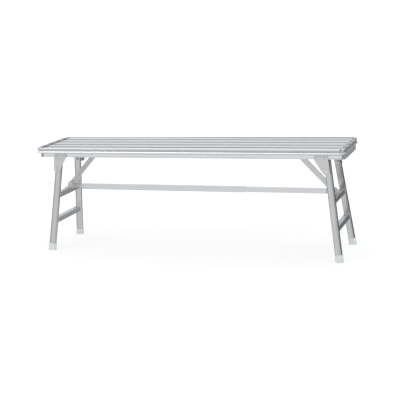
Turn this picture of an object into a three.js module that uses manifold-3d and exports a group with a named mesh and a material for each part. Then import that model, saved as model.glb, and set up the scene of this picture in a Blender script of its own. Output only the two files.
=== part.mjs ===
import * as THREE from 'three';
import { mergeVertices } from 'three/addons/utils/BufferGeometryUtils.js';
import Module from 'manifold-3d';

const wasm = await Module();
wasm.setup();

// A folding bench. All lengths are millimetres. X runs along the bench, Y across it, Z is up, and the
// origin lies on the floor under the middle of the seat.

// Whole bench
const SEAT_HEIGHT = 500;
const SEAT_LENGTH = 1480;
const SEAT_WIDTH = 330;

// Clearances
const FIT = 0.3;
const SIDE_PLAY = 0.5;
const CUT_OVERRUN = 5;

// Edge rails: a hollow top box with a raised lip and a rounded nose, and a web under it with a foot flange
const RAIL_WIDTH = 58;
const RAIL_DEPTH = 50;
const RAIL_WALL = 2.2;
const RAIL_EDGE_ROUNDING = 1.5;
const LIP_RISE = 4;
const LIP_WIDTH = 9;
const LIP_SLOPE = 1.5;
const LIP_DEPTH = 6;
const LIP_SETBACK = 2;
const LIP_ROUNDING = 3;
const NECK_SETBACK = 7;
const NECK_SLOPE = 2.5;
const NOSE_TOP_DROP = 14;
const NOSE_BOTTOM_DROP = 25;
const NOSE_WIDTH = 12;
const NOSE_ROUNDING = 5;
const WEB_TOP_DROP = 29.5;
const WEB_SETBACK = 40;
const WEB_WALL = 2.5;
const WEB_BEAD_HEIGHT = 1.2;
const WEB_BEAD_WIDTH = 5;
const FOOT_FLANGE_WIDTH = 8;
const SCREW_PORT_RADIUS = 2.5;

// Inner slats
const SLAT_COUNT = 3;
const SLAT_THICKNESS = 20;
const SLAT_WALL = 2;
const SLAT_EDGE_ROUNDING = 1;
const RAIL_SLAT_GAP = 12;
const SLAT_GAP = 10;

// End caps
const CAP_LENGTH = 21;
const CAP_CORNER_WIDTH = 50;
const CAP_WALL = 3;
const CAP_SKIRT_SETBACK = 6;
const CAP_TONGUE_LENGTH = 25;
const CAP_EDGE_ROUNDING = 1;

// Bearers under the slats
const BEARER_WIDTH = 40;
const BEARER_WALL = 2;
const BEARER_INSET = 218;
const BEARER_PLACE_SHARES = [-1, -0.5, 0, 0.5, 1];

// Leg frames
const PIVOT_DROP = 100;
const PIVOT_INSET = 86;
const LEG_WEB_CLEARANCE = 17;
const LEG_SPLAY_LENGTHWISE = 49.5;
const LEG_SPLAY_CROSSWISE = 51;
const LEG_WIDTH = 30;
const LEG_DEPTH = 20;
const LEG_WALL = 2;
const LEG_CORNER = 4;
const LEG_RISE = 60;
const UPPER_RUNG_DROP = 139;
const LOWER_RUNG_DROP = 261;
const RUNG_SIZE = 25;
const RUNG_WALL = 2;
const RUNG_CORNER = 2.5;

// Foot caps
const FOOT_HEIGHT = 32;
const FOOT_WALL = 2;
const FOOT_SOLE = 6;

// Gusset plates, with their outline measured from the leg pivot
const GUSSET_THICKNESS = 3;
const GUSSET_INNER_REACH = 57;
const GUSSET_OUTER_TOP_REACH = 4;
const GUSSET_OUTER_FOOT_REACH = 15;
const GUSSET_FOOT_INNER_REACH = 15;
const GUSSET_FOOT_DROP = 16;
const GUSSET_SLANT_START = 1;
const GUSSET_CORNER = 5;
const GUSSET_TOP_GAP = 1;

// Rivets
const RIVET_RADIUS = 2.4;
const RIVET_HEAD_RADIUS = 4.5;
const RIVET_HEAD_HEIGHT = 1.6;
const RIVET_EDGE = 12;

// Leg pivots
const PIVOT_BOLT_RADIUS = 5;
const PIVOT_HEAD_RADIUS = 9;
const PIVOT_HEAD_HEIGHT = 4.5;
const PIVOT_NUT_RADIUS = 9;
const PIVOT_NUT_HEIGHT = 6;
const PIVOT_BOLT_TAIL = 3;
const BUSH_RADIUS = 8;
const BUSH_STANDOUT = 3;

// Struts
const STRUT_SPREAD = 27;
const STRUT_HEIGHT = 23;
const STRUT_THICKNESS = 8;
const STRUT_HINGE_DROP = 63;
const STRUT_PIN_DROP = 110;
const STRUT_PIN_OFFSET = 6;
const PIN_RADIUS = 5;
const PIN_HEAD_RADIUS = 8;
const PIN_HEAD_HEIGHT = 3;
const HOOK_PLAY = 1.2;
const HINGE_PLATE_THICKNESS = 2.5;
const HINGE_PLATE_WIDTH = 44;
const HINGE_EAR_RADIUS = 10;

// Rung brackets
const EAR_THICKNESS = 3;
const STRUT_EAR_RADIUS = 16;
const BRACKET_BASE_THICKNESS = 3;

// Telescopic stretcher
const STRETCHER_PIN_DROP = 113;
const STRETCHER_PIN_OFFSET = 31;
const STRETCHER_EAR_RADIUS = 9;
const STRETCHER_SIZE = 25;
const STRETCHER_WALL = 1.2;
const STRETCHER_CORNER = 2;
const STRETCHER_INNER_WALL = 1.5;
const STRETCHER_INNER_CORNER = 1;
const STRETCHER_OUTER_LENGTH = 827;
const STRETCHER_OVERLAP = 200;
const TONGUE_HEIGHT = 12;
const TONGUE_THICKNESS = 10;
const LEFT_TONGUE_LENGTH = 51;
const RIGHT_TONGUE_LENGTH = 15;
const TONGUE_PLUG_LENGTH = 35;
const STRETCHER_PIN_RADIUS = 4;
const STRETCHER_HEAD_RADIUS = 7;

// Smoothness of round forms
const ROUND_SEGMENTS = 24;
const CORNER_SEGMENTS = 3;
const HEX_SIDES = 6;

// Heights and places that follow from the sizes
const BOARD_TOP = SEAT_HEIGHT - LIP_RISE;
const SLAT_UNDERSIDE = BOARD_TOP - SLAT_THICKNESS;
const RAIL_BOTTOM = SEAT_HEIGHT - RAIL_DEPTH;
const HALF_WIDTH = SEAT_WIDTH / 2;
const HALF_LENGTH = SEAT_LENGTH / 2;
const CAP_SEAM = HALF_LENGTH - CAP_LENGTH;
const BEARER_SPREAD = HALF_LENGTH - BEARER_INSET;
const PIVOT_HEIGHT = SEAT_HEIGHT - PIVOT_DROP;
const PIVOT_SPREAD = HALF_LENGTH - PIVOT_INSET;
const RAIL_INNER = HALF_WIDTH - RAIL_WIDTH;
const WEB_FACE = HALF_WIDTH - WEB_SETBACK;
const BEAD_FACE = WEB_FACE + WEB_BEAD_HEIGHT;
const LEG_PIVOT_SPREAD = WEB_FACE - LEG_WEB_CLEARANCE - LEG_DEPTH / 2;
const GUSSET_MIDDLE = BEAD_FACE + FIT + GUSSET_THICKNESS / 2;
const GUSSET_OUTER_FACE = GUSSET_MIDDLE + GUSSET_THICKNESS / 2;
const BEARER_TOP = SLAT_UNDERSIDE - FIT;
const BEARER_BOTTOM = RAIL_BOTTOM + WEB_WALL + FIT;
const STRUT_HINGE_SPREAD = BEARER_SPREAD;
const STRUT_HINGE_HEIGHT = SEAT_HEIGHT - STRUT_HINGE_DROP;
const SPLAY_LENGTHWISE = Math.atan2(LEG_SPLAY_LENGTHWISE, PIVOT_HEIGHT);
const FRAME_DROP = PIVOT_HEIGHT / Math.cos(SPLAY_LENGTHWISE);
const SPLAY_CROSSWISE = Math.atan2(LEG_SPLAY_CROSSWISE, FRAME_DROP);
const LEG_DROP = FRAME_DROP / Math.cos(SPLAY_CROSSWISE);
const INNER_TUBE_SIZE = STRETCHER_SIZE - 2 * (STRETCHER_WALL + FIT);
const SIDES = [{ name: 'left', sign: -1 }, { name: 'right', sign: 1 }];
const EDGES = [{ name: 'front', sign: -1 }, { name: 'rear', sign: 1 }];

// Materials
function aluminium(color, roughness) {
  return new THREE.MeshStandardMaterial({ color, roughness, metalness: 0.85 });
}

function zincSteel() {
  return new THREE.MeshStandardMaterial({ color: 0xb9bcbd, roughness: 0.4, metalness: 0.9 });
}

function capPlastic() {
  return new THREE.MeshStandardMaterial({ color: 0xa7abad, roughness: 0.45, metalness: 0.2 });
}

function footPlastic() {
  return new THREE.MeshStandardMaterial({ color: 0xe4e6e6, roughness: 0.5, metalness: 0 });
}

// Solids: a geometry becomes a manifold for joining and cutting, and then a geometry again
function solidFrom(geometry) {
  const bare = geometry.index ? geometry.toNonIndexed() : geometry.clone();
  bare.deleteAttribute('normal');
  bare.deleteAttribute('uv');
  const merged = mergeVertices(bare);
  const mesh = new wasm.Mesh({
    numProp: 3,
    vertProperties: new Float32Array(merged.attributes.position.array),
    triVerts: new Uint32Array(merged.index.array),
  });
  return new wasm.Manifold(mesh);
}

function geometryFrom(solid) {
  const mesh = solid.getMesh();
  const geometry = new THREE.BufferGeometry();
  geometry.setAttribute('position', new THREE.BufferAttribute(mesh.vertProperties, 3));
  geometry.setIndex(new THREE.BufferAttribute(mesh.triVerts, 1));
  const faceted = geometry.toNonIndexed();
  faceted.computeVertexNormals();
  return faceted;
}

function join(geometries) {
  const solids = geometries.map(solidFrom);
  return geometryFrom(solids.reduce((sum, solid) => sum.add(solid)));
}

function cut(geometry, cutters) {
  const start = solidFrom(geometry);
  return geometryFrom(cutters.map(solidFrom).reduce((rest, solid) => rest.subtract(solid), start));
}

// Extrusions: an outline drawn in two of the axes is stretched along the third and centred on it
const ALONG_X = new THREE.Matrix4().makeBasis(
  new THREE.Vector3(0, 1, 0), new THREE.Vector3(0, 0, 1), new THREE.Vector3(1, 0, 0));
const ALONG_Y = new THREE.Matrix4().makeBasis(
  new THREE.Vector3(1, 0, 0), new THREE.Vector3(0, 0, 1), new THREE.Vector3(0, -1, 0));

function extrude(shape, length) {
  const options = { depth: length, bevelEnabled: false, curveSegments: CORNER_SEGMENTS };
  const geometry = new THREE.ExtrudeGeometry(shape, options);
  geometry.translate(0, 0, -length / 2);
  return geometry;
}

function extrudeX(shape, length) {
  return extrude(shape, length).applyMatrix4(ALONG_X);
}

function extrudeY(shape, length) {
  return extrude(shape, length).applyMatrix4(ALONG_Y);
}

function rectangle(width, height, x, y) {
  const left = x - width / 2;
  const bottom = y - height / 2;
  return polygon([[left, bottom], [left + width, bottom], [left + width, bottom + height],
    [left, bottom + height]]);
}

function roundedRectangle(width, height, radius) {
  const x = width / 2 - radius;
  const y = height / 2 - radius;
  const shape = new THREE.Shape();
  shape.absarc(x, -y, radius, -Math.PI / 2, 0, false);
  shape.absarc(x, y, radius, 0, Math.PI / 2, false);
  shape.absarc(-x, y, radius, Math.PI / 2, Math.PI, false);
  shape.absarc(-x, -y, radius, Math.PI, 1.5 * Math.PI, false);
  shape.closePath();
  return shape;
}

// A hollow extrusion: the bores are cut from end to end
function hollowExtrusion(stretch, outline, bores, length) {
  const cutters = bores.map((bore) => stretch(bore, length + 2 * CUT_OVERRUN));
  return cut(stretch(outline, length), cutters);
}

function tube(stretch, width, height, wall, corner, length) {
  const outline = roundedRectangle(width, height, corner);
  const bore = rectangle(width - 2 * wall, height - 2 * wall, 0, 0);
  return hollowExtrusion(stretch, outline, [bore], length);
}

function polygon(points) {
  const shape = new THREE.Shape();
  points.forEach(([x, y], index) => (index ? shape.lineTo(x, y) : shape.moveTo(x, y)));
  shape.closePath();
  return shape;
}

// A polygon whose corners are cut back by a radius and rounded
function roundedPolygon(corners, radius) {
  const shape = new THREE.Shape();
  const count = corners.length;
  corners.forEach(([x, y], index) => {
    const here = new THREE.Vector2(x, y);
    const before = new THREE.Vector2(...corners[(index + count - 1) % count]);
    const after = new THREE.Vector2(...corners[(index + 1) % count]);
    const start = before.sub(here).setLength(radius).add(here);
    const end = after.sub(here).setLength(radius).add(here);
    if (index) {
      shape.lineTo(start.x, start.y);
    } else {
      shape.moveTo(start.x, start.y);
    }
    shape.quadraticCurveTo(x, y, end.x, end.y);
  });
  shape.closePath();
  return shape;
}

// A round bar or disc along Y, centred at the given place
function barY(radius, length, x, y, z, segments = ROUND_SEGMENTS) {
  const geometry = new THREE.CylinderGeometry(radius, radius, length, segments);
  geometry.translate(x, y, z);
  return geometry;
}

function box(width, depth, height, x, y, z) {
  const geometry = new THREE.BoxGeometry(width, depth, height);
  geometry.translate(x, y, z);
  return geometry;
}

function addMesh(parent, name, geometry, material) {
  const mesh = new THREE.Mesh(geometry, material);
  mesh.name = name;
  parent.add(mesh);
  return mesh;
}

const bench = new THREE.Group();

// Edge rail, drawn as its section on the rear side of the bench
function railShape() {
  const lipOut = HALF_WIDTH - LIP_SETBACK;
  const lipIn = lipOut - LIP_WIDTH;
  const neckOut = HALF_WIDTH - NECK_SETBACK;
  const noseTop = SEAT_HEIGHT - NOSE_TOP_DROP;
  const noseBottom = SEAT_HEIGHT - NOSE_BOTTOM_DROP;
  const noseCentre = HALF_WIDTH - NOSE_ROUNDING;
  const noseInner = HALF_WIDTH - NOSE_WIDTH;
  const webTop = SEAT_HEIGHT - WEB_TOP_DROP;
  const lipBottom = SEAT_HEIGHT - LIP_DEPTH;
  const shape = new THREE.Shape();
  shape.moveTo(RAIL_INNER, SLAT_UNDERSIDE);
  shape.lineTo(RAIL_INNER, BOARD_TOP - RAIL_EDGE_ROUNDING);
  shape.quadraticCurveTo(RAIL_INNER, BOARD_TOP, RAIL_INNER + RAIL_EDGE_ROUNDING, BOARD_TOP);
  shape.lineTo(lipIn, BOARD_TOP);
  shape.lineTo(lipIn + LIP_SLOPE, SEAT_HEIGHT);
  shape.lineTo(lipOut - LIP_ROUNDING, SEAT_HEIGHT);
  shape.quadraticCurveTo(lipOut, SEAT_HEIGHT, lipOut, SEAT_HEIGHT - LIP_ROUNDING);
  shape.lineTo(lipOut, lipBottom);
  shape.lineTo(neckOut, lipBottom - NECK_SLOPE);
  shape.lineTo(neckOut, noseTop + RAIL_EDGE_ROUNDING);
  shape.absarc(noseCentre, noseTop - NOSE_ROUNDING, NOSE_ROUNDING, Math.PI / 2, 0, true);
  shape.absarc(noseCentre, noseBottom + NOSE_ROUNDING, NOSE_ROUNDING, 0, -Math.PI / 2, true);
  shape.lineTo(noseInner, noseBottom);
  shape.lineTo(noseInner - (SLAT_UNDERSIDE - noseBottom), SLAT_UNDERSIDE);
  shape.lineTo(WEB_FACE, SLAT_UNDERSIDE);
  webBead(shape, webTop - RAIL_EDGE_ROUNDING);
  webBead(shape, RAIL_BOTTOM + WEB_BEAD_WIDTH + RAIL_EDGE_ROUNDING);
  shape.lineTo(WEB_FACE, RAIL_BOTTOM);
  shape.lineTo(WEB_FACE - FOOT_FLANGE_WIDTH, RAIL_BOTTOM);
  shape.lineTo(WEB_FACE - FOOT_FLANGE_WIDTH, RAIL_BOTTOM + WEB_WALL);
  shape.lineTo(WEB_FACE - WEB_WALL, RAIL_BOTTOM + WEB_WALL);
  shape.lineTo(WEB_FACE - WEB_WALL, SLAT_UNDERSIDE);
  shape.closePath();
  return shape;
}

// One of the two low ridges on the web that the gusset plates bear on
function webBead(shape, top) {
  const bottom = top - WEB_BEAD_WIDTH;
  shape.lineTo(WEB_FACE, top);
  shape.lineTo(BEAD_FACE, top - WEB_BEAD_HEIGHT);
  shape.lineTo(BEAD_FACE, bottom + WEB_BEAD_HEIGHT);
  shape.lineTo(WEB_FACE, bottom);
}

const RAIL_BORE_WIDTH = RAIL_WIDTH - NECK_SETBACK - 2 * RAIL_WALL;
const RAIL_BORE_MIDDLE = RAIL_INNER + RAIL_WALL + RAIL_BORE_WIDTH / 2;
const TOP_BORE_HEIGHT = SLAT_THICKNESS - 2 * RAIL_WALL;
const TOP_BORE_MIDDLE = BOARD_TOP - SLAT_THICKNESS / 2;

function railBore() {
  return rectangle(RAIL_BORE_WIDTH, TOP_BORE_HEIGHT, RAIL_BORE_MIDDLE, TOP_BORE_MIDDLE);
}

function screwPort() {
  const port = new THREE.Shape();
  const across = HALF_WIDTH - (NECK_SETBACK + RAIL_WALL) / 2;
  const height = SEAT_HEIGHT - (NOSE_TOP_DROP + NOSE_BOTTOM_DROP) / 2;
  port.absarc(across, height, SCREW_PORT_RADIUS, 0, 2 * Math.PI, false);
  return port;
}

// Rivets hold each gusset to the web. Their places are worked out from the gusset's own edges.
const GUSSET_RIVET_REACHES = [GUSSET_INNER_REACH - RIVET_EDGE, RIVET_EDGE];
const RIVET_HEIGHT = RAIL_BOTTOM + (RAIL_DEPTH - WEB_TOP_DROP) / 2;

function railRivetHoles() {
  return SIDES.flatMap((side) => GUSSET_RIVET_REACHES.map((reach) => {
    const x = side.sign * (PIVOT_SPREAD - reach);
    return barY(RIVET_RADIUS + FIT, RAIL_DEPTH, x, WEB_FACE, RIVET_HEIGHT, ROUND_SEGMENTS / 2);
  }));
}

function makeRail(edge) {
  const length = 2 * (CAP_SEAM - FIT);
  const whole = hollowExtrusion(extrudeX, railShape(), [railBore(), screwPort()], length);
  const rail = addMesh(bench, `${edge.name}_rail`, cut(whole, railRivetHoles()), aluminium(0xd3d6d9, 0.34));
  rail.rotation.z = edge.sign > 0 ? 0 : Math.PI;
}

// Inner slats share the width that the rails and gaps leave, and lie as low as the rails' tops
const SLAT_FIELD = 2 * (RAIL_INNER - RAIL_SLAT_GAP) - (SLAT_COUNT - 1) * SLAT_GAP;
const SLAT_WIDTH = SLAT_FIELD / SLAT_COUNT;
const SLAT_CHAMBER_WIDTH = (SLAT_WIDTH - 3 * SLAT_WALL) / 2;
const SLAT_CHAMBER_HEIGHT = SLAT_THICKNESS - 2 * SLAT_WALL;
const SLAT_CHAMBER_SHIFT = (SLAT_CHAMBER_WIDTH + SLAT_WALL) / 2;

function slatPlace(index) {
  return (index - (SLAT_COUNT - 1) / 2) * (SLAT_WIDTH + SLAT_GAP);
}

function makeSlat(index) {
  const outline = roundedRectangle(SLAT_WIDTH, SLAT_THICKNESS, SLAT_EDGE_ROUNDING);
  const chambers = EDGES.map((edge) => {
    const shift = edge.sign * SLAT_CHAMBER_SHIFT;
    return rectangle(SLAT_CHAMBER_WIDTH, SLAT_CHAMBER_HEIGHT, shift, 0);
  });
  const geometry = hollowExtrusion(extrudeX, outline, chambers, 2 * (CAP_SEAM - FIT));
  const slat = addMesh(bench, `slat_${index + 1}`, geometry, aluminium(0xd3d6d9, 0.34));
  slat.position.set(0, slatPlace(index), TOP_BORE_MIDDLE);
}

// End cap: the rail's outline carried round the end in layers, rounded in plan at the corners
function capPlan(inset, endInset) {
  const across = HALF_WIDTH - inset;
  const cornerWidth = CAP_CORNER_WIDTH - inset;
  const cornerLength = CAP_LENGTH - endInset;
  const shape = new THREE.Shape();
  shape.moveTo(CAP_SEAM - CAP_LENGTH, across);
  shape.lineTo(CAP_SEAM - CAP_LENGTH, -across);
  const middle = across - cornerWidth;
  shape.absellipse(CAP_SEAM, -middle, cornerLength, cornerWidth, -Math.PI / 2, 0, false);
  shape.absellipse(CAP_SEAM, middle, cornerLength, cornerWidth, 0, Math.PI / 2, false);
  shape.closePath();
  return shape;
}

function capLayer(inset, bottom, top, rounding, endInset = inset) {
  const options = {
    depth: top - bottom - 2 * rounding,
    bevelThickness: rounding,
    bevelSize: rounding,
    bevelOffset: -rounding,
    bevelSegments: CORNER_SEGMENTS,
    curveSegments: ROUND_SEGMENTS / 3,
  };
  const layer = new THREE.ExtrudeGeometry(capPlan(inset, endInset), options);
  layer.translate(0, 0, bottom + rounding);
  return layer;
}

function capTongue(width, height, middle) {
  const length = CAP_TONGUE_LENGTH + CUT_OVERRUN;
  const x = CAP_SEAM - CAP_TONGUE_LENGTH + length / 2;
  return box(length, width - 2 * FIT, height - 2 * FIT, x, middle, TOP_BORE_MIDDLE);
}

function capTongues() {
  const rails = EDGES.map((edge) => capTongue(RAIL_BORE_WIDTH, TOP_BORE_HEIGHT, edge.sign * RAIL_BORE_MIDDLE));
  const slats = [...Array(SLAT_COUNT).keys()].flatMap((index) => EDGES.map((edge) => {
    const middle = slatPlace(index) + edge.sign * SLAT_CHAMBER_SHIFT;
    return capTongue(SLAT_CHAMBER_WIDTH, SLAT_CHAMBER_HEIGHT, middle);
  }));
  return [...rails, ...slats];
}

function capGeometry() {
  const lipBottom = SEAT_HEIGHT - LIP_DEPTH;
  const noseTop = SEAT_HEIGHT - NOSE_TOP_DROP;
  const noseBottom = SEAT_HEIGHT - NOSE_BOTTOM_DROP;
  const coreHeight = SEAT_HEIGHT - RAIL_BOTTOM - 2 * CAP_EDGE_ROUNDING;
  const layers = [
    capLayer(LIP_SETBACK, lipBottom - CAP_EDGE_ROUNDING, SEAT_HEIGHT, CAP_EDGE_ROUNDING),
    capLayer(NECK_SETBACK, noseTop - NOSE_ROUNDING, lipBottom, CAP_EDGE_ROUNDING),
    capLayer(0, noseBottom, noseTop, NOSE_ROUNDING),
    capLayer(WEB_SETBACK - WEB_BEAD_HEIGHT, RAIL_BOTTOM, RAIL_BOTTOM + coreHeight, CAP_EDGE_ROUNDING,
      CAP_SKIRT_SETBACK),
  ];
  const slab = 2 * HALF_WIDTH;
  const beyondSeam = box(slab, 2 * slab, slab, CAP_SEAM - slab / 2, 0, RAIL_BOTTOM);
  const hollowWidth = 2 * (WEB_FACE - CAP_CORNER_WIDTH);
  const hollowLength = CAP_LENGTH - CAP_SKIRT_SETBACK;
  const hollowTop = SLAT_UNDERSIDE - CAP_WALL;
  const hollow = box(2 * hollowLength - CAP_WALL, hollowWidth, hollowTop - RAIL_BOTTOM - CAP_WALL,
    CAP_SEAM, 0, (hollowTop + RAIL_BOTTOM) / 2);
  const shell = cut(join(layers), [beyondSeam, hollow]);
  return join([shell, ...capTongues()]);
}

function makeCap(side) {
  const cap = addMesh(bench, `end_cap_${side.name}`, capGeometry(), capPlastic());
  cap.rotation.z = side.sign > 0 ? 0 : Math.PI;
}

// Bearers reach from web to web, between the foot flanges and the slats
function makeBearer(share, index) {
  const height = BEARER_TOP - BEARER_BOTTOM;
  const length = 2 * (WEB_FACE - WEB_WALL - FIT);
  const geometry = tube(extrudeY, BEARER_WIDTH, height, BEARER_WALL, BEARER_WALL / 2, length);
  const bearer = addMesh(bench, `bearer_${index + 1}`, geometry, aluminium(0xc4c8cb, 0.4));
  bearer.position.set(share * BEARER_SPREAD, 0, (BEARER_TOP + BEARER_BOTTOM) / 2);
}

// Gusset plate with its rivets, placed at the leg pivot
const GUSSET_TOP = SEAT_HEIGHT - WEB_TOP_DROP - GUSSET_TOP_GAP - PIVOT_HEIGHT;

function gussetShape(side) {
  const slantStart = RAIL_BOTTOM - PIVOT_HEIGHT + GUSSET_SLANT_START;
  const corners = [
    [GUSSET_OUTER_TOP_REACH, GUSSET_TOP],
    [-GUSSET_INNER_REACH, GUSSET_TOP],
    [-GUSSET_INNER_REACH, slantStart],
    [-GUSSET_FOOT_INNER_REACH, -GUSSET_FOOT_DROP],
    [GUSSET_OUTER_FOOT_REACH, -GUSSET_FOOT_DROP],
  ];
  return roundedPolygon(corners.map(([x, z]) => [side.sign * x, z]), GUSSET_CORNER);
}

function rivetGeometry(edge, x) {
  const inner = WEB_FACE - WEB_WALL - FIT - GUSSET_MIDDLE;
  const outer = GUSSET_THICKNESS / 2;
  const profile = [
    new THREE.Vector2(0, inner - RIVET_HEAD_HEIGHT),
    new THREE.Vector2(RIVET_HEAD_RADIUS - RIVET_HEAD_HEIGHT / 2, inner - RIVET_HEAD_HEIGHT),
    new THREE.Vector2(RIVET_HEAD_RADIUS, inner),
    new THREE.Vector2(RIVET_RADIUS, inner),
    new THREE.Vector2(RIVET_RADIUS, 0),
    new THREE.Vector2(RIVET_HEAD_RADIUS, outer - RIVET_HEAD_HEIGHT / 2),
    new THREE.Vector2(RIVET_HEAD_RADIUS, outer),
    new THREE.Vector2(RIVET_HEAD_RADIUS - RIVET_HEAD_HEIGHT, outer + RIVET_HEAD_HEIGHT),
    new THREE.Vector2(0, outer + RIVET_HEAD_HEIGHT),
  ];
  const rivet = new THREE.LatheGeometry(profile, ROUND_SEGMENTS / 2);
  if (edge.sign < 0) {
    rivet.rotateZ(Math.PI);
  }
  rivet.translate(x, 0, RIVET_HEIGHT - PIVOT_HEIGHT);
  return rivet;
}

function makeGusset(side, edge) {
  const hole = barY(PIVOT_BOLT_RADIUS + FIT, 2 * GUSSET_THICKNESS, 0, 0, 0);
  const plate = cut(extrudeY(gussetShape(side), GUSSET_THICKNESS), [hole]);
  const rivets = GUSSET_RIVET_REACHES.map((reach) => rivetGeometry(edge, -side.sign * reach));
  const gusset = addMesh(bench, `gusset_${edge.name}_${side.name}`, join([plate, ...rivets]),
    aluminium(0xc3c6c2, 0.46));
  gusset.position.set(side.sign * PIVOT_SPREAD, edge.sign * GUSSET_MIDDLE, PIVOT_HEIGHT);
}

// Leg pivot: a bolt from outside the gusset through the leg's bush, and a nut inside the leg
const BUSH_OUTER_END = BEAD_FACE;
const BUSH_INNER_END = LEG_PIVOT_SPREAD - LEG_DEPTH / 2 - BUSH_STANDOUT;
const NUT_MIDDLE = BUSH_INNER_END - FIT - PIVOT_NUT_HEIGHT / 2;

function makePivotBolt(side, edge) {
  const headInner = GUSSET_OUTER_FACE + FIT;
  const tail = BUSH_INNER_END - FIT - PIVOT_NUT_HEIGHT - PIVOT_BOLT_TAIL;
  const headMiddle = headInner + PIVOT_HEAD_HEIGHT / 2;
  const head = barY(PIVOT_HEAD_RADIUS, PIVOT_HEAD_HEIGHT, 0, edge.sign * headMiddle, 0, HEX_SIDES);
  const shank = barY(PIVOT_BOLT_RADIUS, headMiddle - tail, 0, edge.sign * (headMiddle + tail) / 2, 0);
  const bolt = addMesh(bench, `pivot_bolt_${edge.name}_${side.name}`, join([head, shank]), zincSteel());
  bolt.position.set(side.sign * PIVOT_SPREAD, 0, PIVOT_HEIGHT);
}

function makePivotNut(side, edge) {
  const body = barY(PIVOT_NUT_RADIUS, PIVOT_NUT_HEIGHT, 0, 0, 0, HEX_SIDES);
  const bore = barY(PIVOT_BOLT_RADIUS + FIT, PIVOT_NUT_HEIGHT + 2 * CUT_OVERRUN, 0, 0, 0);
  const nut = addMesh(bench, `pivot_nut_${edge.name}_${side.name}`, cut(body, [bore]), zincSteel());
  nut.position.set(side.sign * PIVOT_SPREAD, edge.sign * NUT_MIDDLE, PIVOT_HEIGHT);
}

// Leg frame: a group at the pivot line, leaning outwards by the lengthwise splay
function makeFrame(side) {
  const frame = new THREE.Group();
  frame.position.set(side.sign * PIVOT_SPREAD, 0, PIVOT_HEIGHT);
  frame.rotation.y = -side.sign * SPLAY_LENGTHWISE;
  bench.add(frame);
  EDGES.forEach((edge) => makeLeg(frame, side, edge));
  makeRung(frame, `upper_rung_${side.name}`, UPPER_RUNG_DROP);
  makeRung(frame, `lower_rung_${side.name}`, LOWER_RUNG_DROP);
  makeRungBracket(frame, side);
  makeFramePin(frame, `strut_pin_${side.name}`, strutLine(side), strutPinPlace(side), PIN_RADIUS,
    PIN_HEAD_RADIUS, STRUT_THICKNESS);
  makeFramePin(frame, `stretcher_pin_${side.name}`, 0, stretcherPinPlace(side), STRETCHER_PIN_RADIUS,
    STRETCHER_HEAD_RADIUS, TONGUE_THICKNESS);
}

// The right strut lies in front of the stretcher and the left one behind it
function strutLine(side) {
  return -side.sign * STRUT_SPREAD;
}

function strutPinPlace(side) {
  return [-side.sign * STRUT_PIN_OFFSET, -STRUT_PIN_DROP];
}

function stretcherPinPlace(side) {
  return [-side.sign * STRETCHER_PIN_OFFSET, -STRETCHER_PIN_DROP];
}

// The place of a leg inside its frame, leaning outwards by the crosswise splay
function legMatrix(edge) {
  const matrix = new THREE.Matrix4().makeRotationX(edge.sign * SPLAY_CROSSWISE);
  return matrix.setPosition(0, edge.sign * LEG_PIVOT_SPREAD, 0);
}

function makeLeg(frame, side, edge) {
  const leg = new THREE.Group();
  leg.position.set(0, edge.sign * LEG_PIVOT_SPREAD, 0);
  leg.rotation.x = edge.sign * SPLAY_CROSSWISE;
  frame.add(leg);
  leg.updateWorldMatrix(true, false);
  const bottom = LEG_DROP - FOOT_SOLE;
  const length = bottom + LEG_RISE;
  const shaft = tube(extrude, LEG_WIDTH, LEG_DEPTH, LEG_WALL, LEG_CORNER, length);
  shaft.translate(0, 0, (LEG_RISE - bottom) / 2);
  const bore = barY(BUSH_RADIUS + FIT, LEG_WIDTH + LEG_DEPTH, 0, 0, 0);
  bore.rotateX(-edge.sign * SPLAY_CROSSWISE);
  addMesh(leg, `leg_${edge.name}_${side.name}`, cut(shaft, [bore]), aluminium(0xccd0d3, 0.36));
  addMesh(leg, `foot_cap_${edge.name}_${side.name}`, footGeometry(leg), footPlastic());
  makeBush(frame, side, edge);
}

// Foot cap: a cup round the end of the leg, cut off level with the floor
function footGeometry(leg) {
  const grow = 2 * (FOOT_WALL + FIT);
  const wholeHeight = FOOT_HEIGHT + LEG_DEPTH;
  const cup = extrude(roundedRectangle(LEG_WIDTH + grow, LEG_DEPTH + grow, LEG_CORNER + FOOT_WALL),
    wholeHeight);
  cup.translate(0, 0, FOOT_HEIGHT - wholeHeight / 2 - LEG_DROP);
  const hollow = extrude(roundedRectangle(LEG_WIDTH + 2 * FIT, LEG_DEPTH + 2 * FIT, LEG_CORNER + FIT),
    LEG_DROP);
  hollow.translate(0, 0, FOOT_SOLE - FIT - LEG_DROP / 2);
  const floorSize = 2 * SEAT_LENGTH;
  const below = box(floorSize, floorSize, SEAT_HEIGHT, 0, 0, -SEAT_HEIGHT / 2);
  below.applyMatrix4(leg.matrixWorld.clone().invert());
  return cut(cup, [hollow, below]);
}

function makeBush(frame, side, edge) {
  const middle = (BUSH_OUTER_END + BUSH_INNER_END) / 2;
  const length = BUSH_OUTER_END - BUSH_INNER_END;
  const body = barY(BUSH_RADIUS, length, 0, 0, 0);
  const bore = barY(PIVOT_BOLT_RADIUS + FIT, length + 2 * CUT_OVERRUN, 0, 0, 0);
  const bush = addMesh(frame, `pivot_bush_${edge.name}_${side.name}`, cut(body, [bore]), zincSteel());
  bush.position.y = edge.sign * middle;
}

// Rungs are square tubes whose ends are cut to the slope of the legs
function makeRung(frame, name, drop) {
  const reach = LEG_PIVOT_SPREAD + drop * Math.tan(SPLAY_CROSSWISE);
  const rung = tube(extrudeY, RUNG_SIZE, RUNG_SIZE, RUNG_WALL, RUNG_CORNER, 2 * reach);
  rung.translate(0, 0, -drop);
  const legs = EDGES.map((edge) => {
    const blocker = box(LEG_WIDTH + 2 * FIT, LEG_DEPTH + 2 * FIT, 2 * LEG_DROP, 0, 0, 0);
    return blocker.applyMatrix4(legMatrix(edge));
  });
  addMesh(frame, name, cut(rung, legs), aluminium(0xc6cacd, 0.38));
}

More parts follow.
